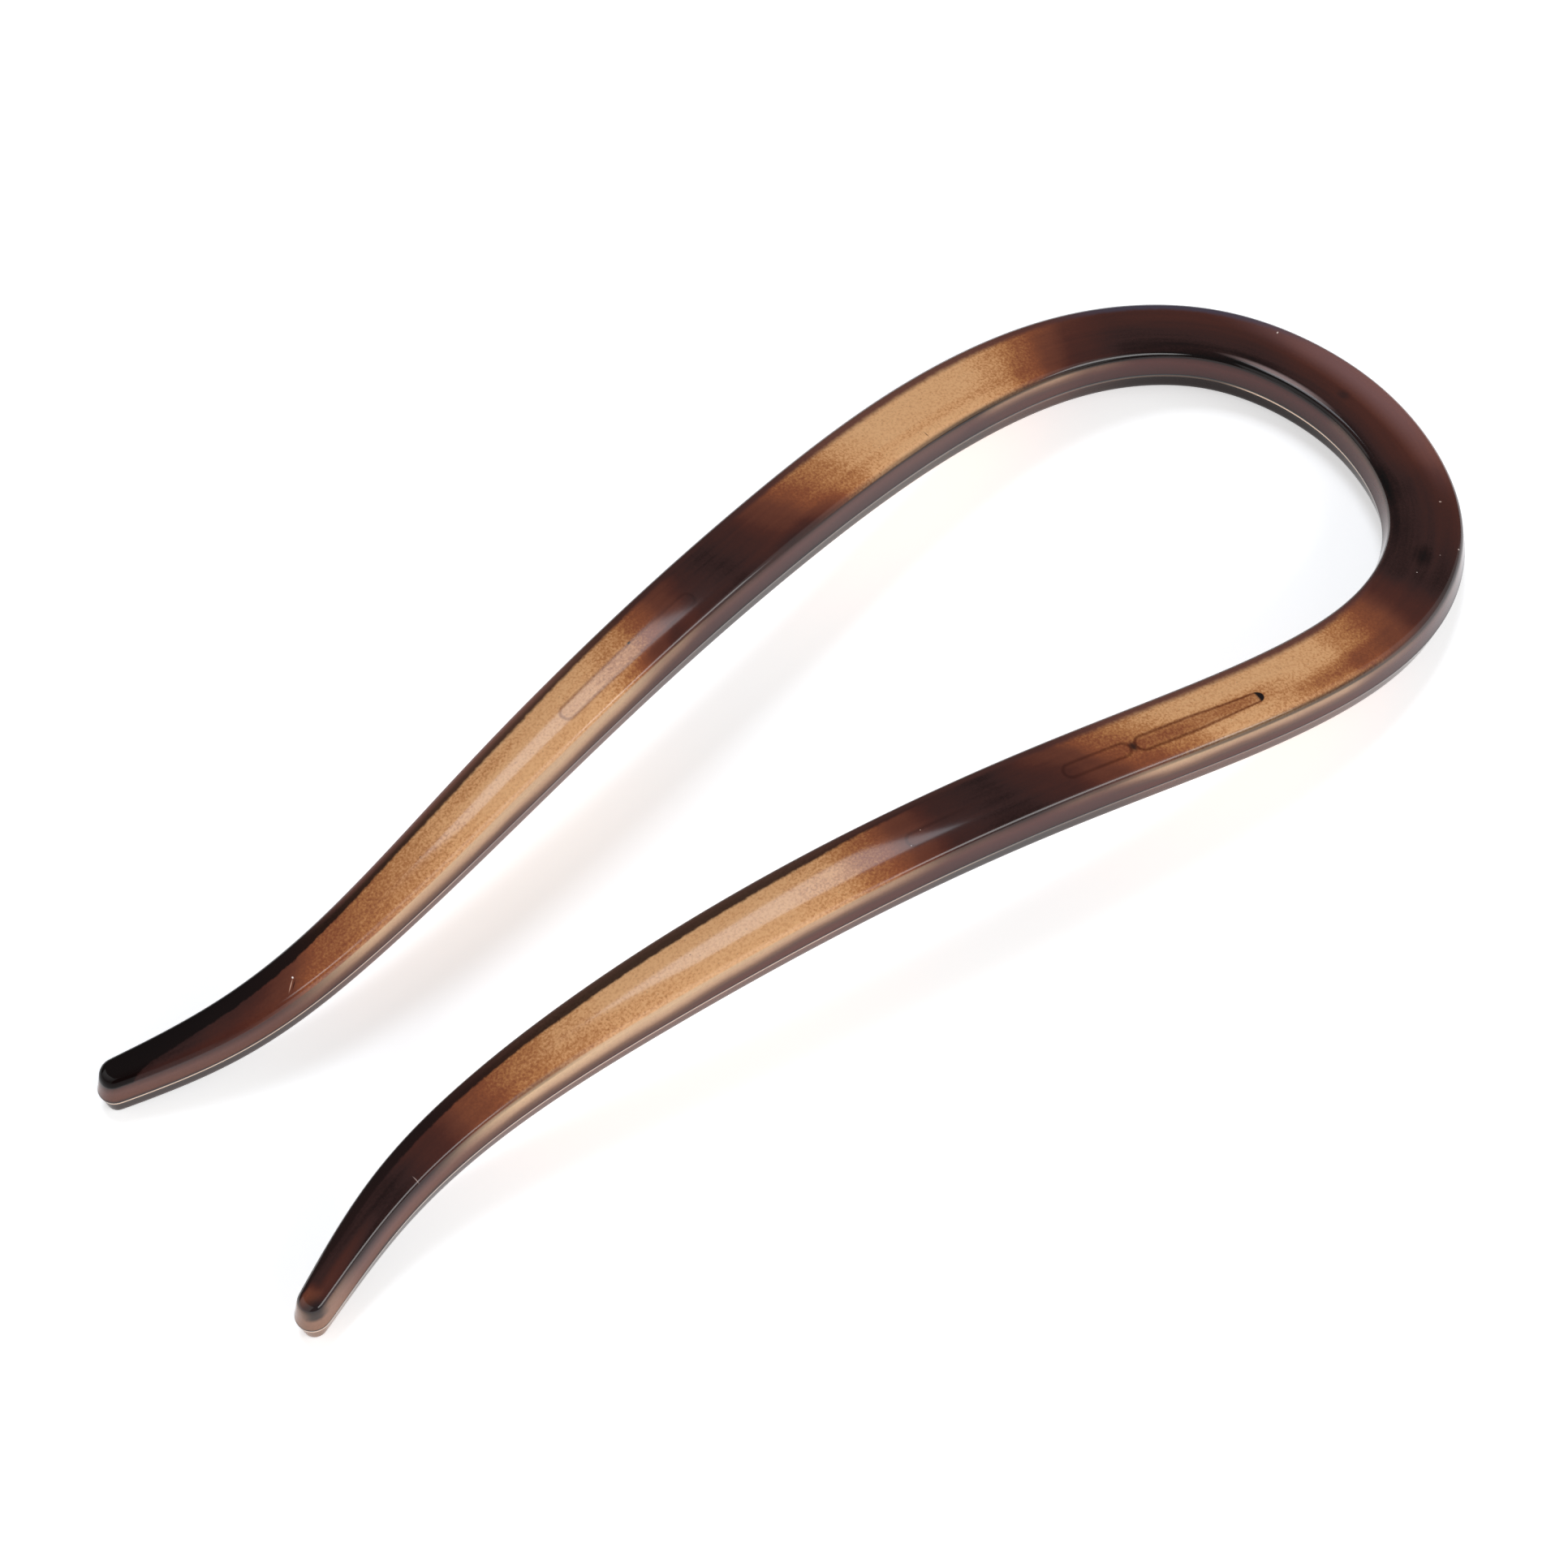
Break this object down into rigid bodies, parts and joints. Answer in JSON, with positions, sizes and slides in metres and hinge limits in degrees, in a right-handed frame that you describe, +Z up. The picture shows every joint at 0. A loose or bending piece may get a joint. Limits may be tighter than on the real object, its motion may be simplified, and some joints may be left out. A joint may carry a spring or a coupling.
{
  "type": "french hair pin",
  "caption": "U-shaped hair pin with an oval bow, a narrow waist and flared round tips, arched to follow the head, with a crowned top and upright sides.",
  "frame": {"origin": "on the surface that the pin lies on, under the middle of its length and width", "axes": "+X along the pin towards the bow, +Y across it, +Z up out of the arched side"},
  "size_m": [0.112, 0.042, 0.0135],
  "materials": {
    "shell_plastic": "polished translucent plastic in a tan and dark brown tortoiseshell pattern"
  },
  "bodies": {
    "root": {"hair_pin": "shell_plastic"}
  },
  "joints": []
}
